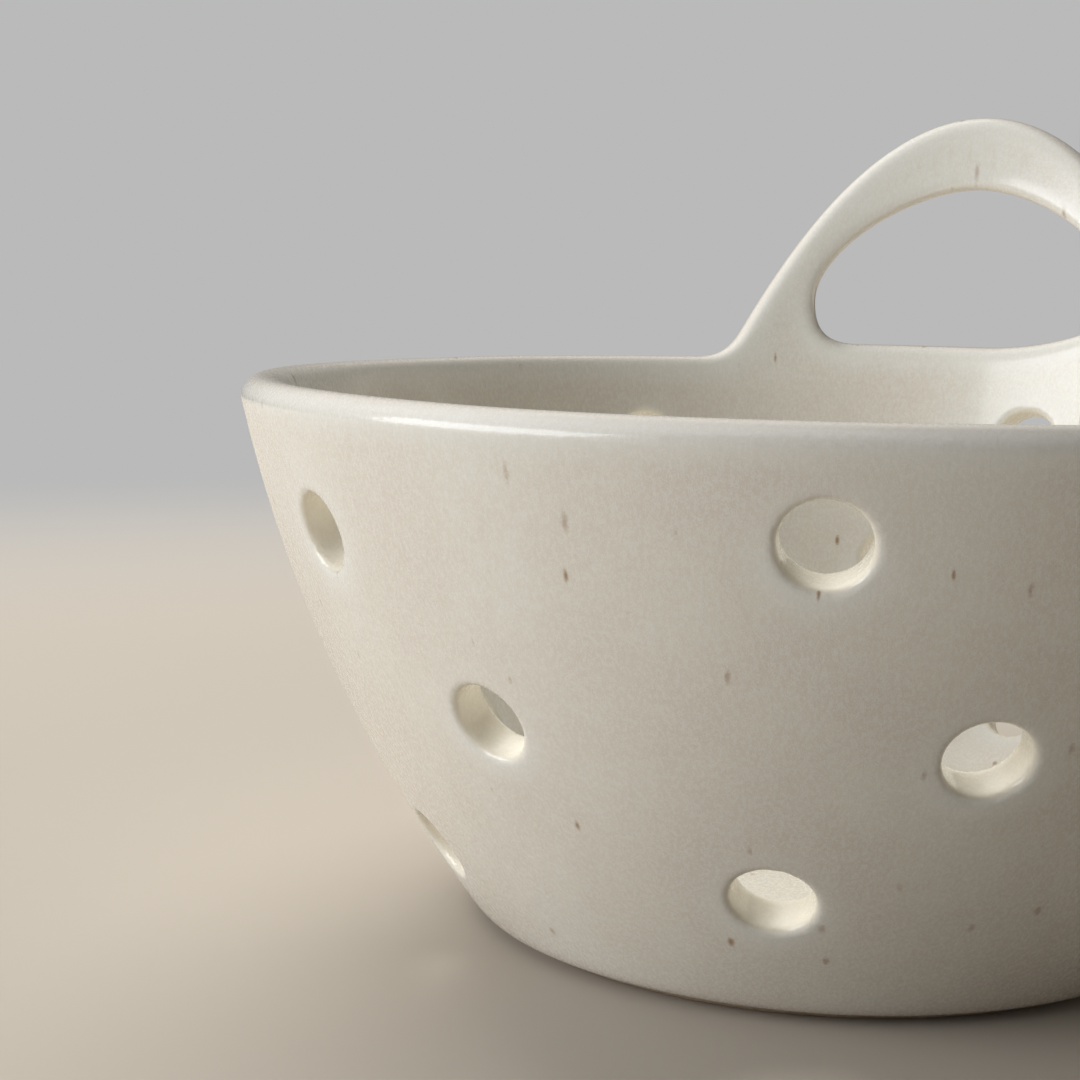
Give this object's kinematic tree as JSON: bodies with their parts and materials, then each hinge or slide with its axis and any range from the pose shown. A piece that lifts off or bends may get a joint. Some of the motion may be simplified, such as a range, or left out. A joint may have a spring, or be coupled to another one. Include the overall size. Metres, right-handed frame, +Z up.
{
  "type": "berry colander bowl",
  "caption": "Flaring round stoneware bowl with staggered drain holes in wall and floor and one D-shaped loop handle rising from the rim, for rinsing and serving berries.",
  "frame": {"origin": "on the bowl's axis, in the plane of the foot ring's standing face", "axes": "+Z up along the bowl's axis, +Y from the axis to the handle"},
  "size_m": [0.1997, 0.2127, 0.1422],
  "materials": {
    "glaze": "satin ivory stoneware glaze with fine mottling and a few iron specks",
    "bare_clay": "bare fired buff stoneware, matt"
  },
  "bodies": {
    "root": {"foot_ring": "bare_clay", "floor": "glaze", "wall": "glaze", "rim_lip": "glaze", "handle": "glaze"}
  },
  "joints": []
}
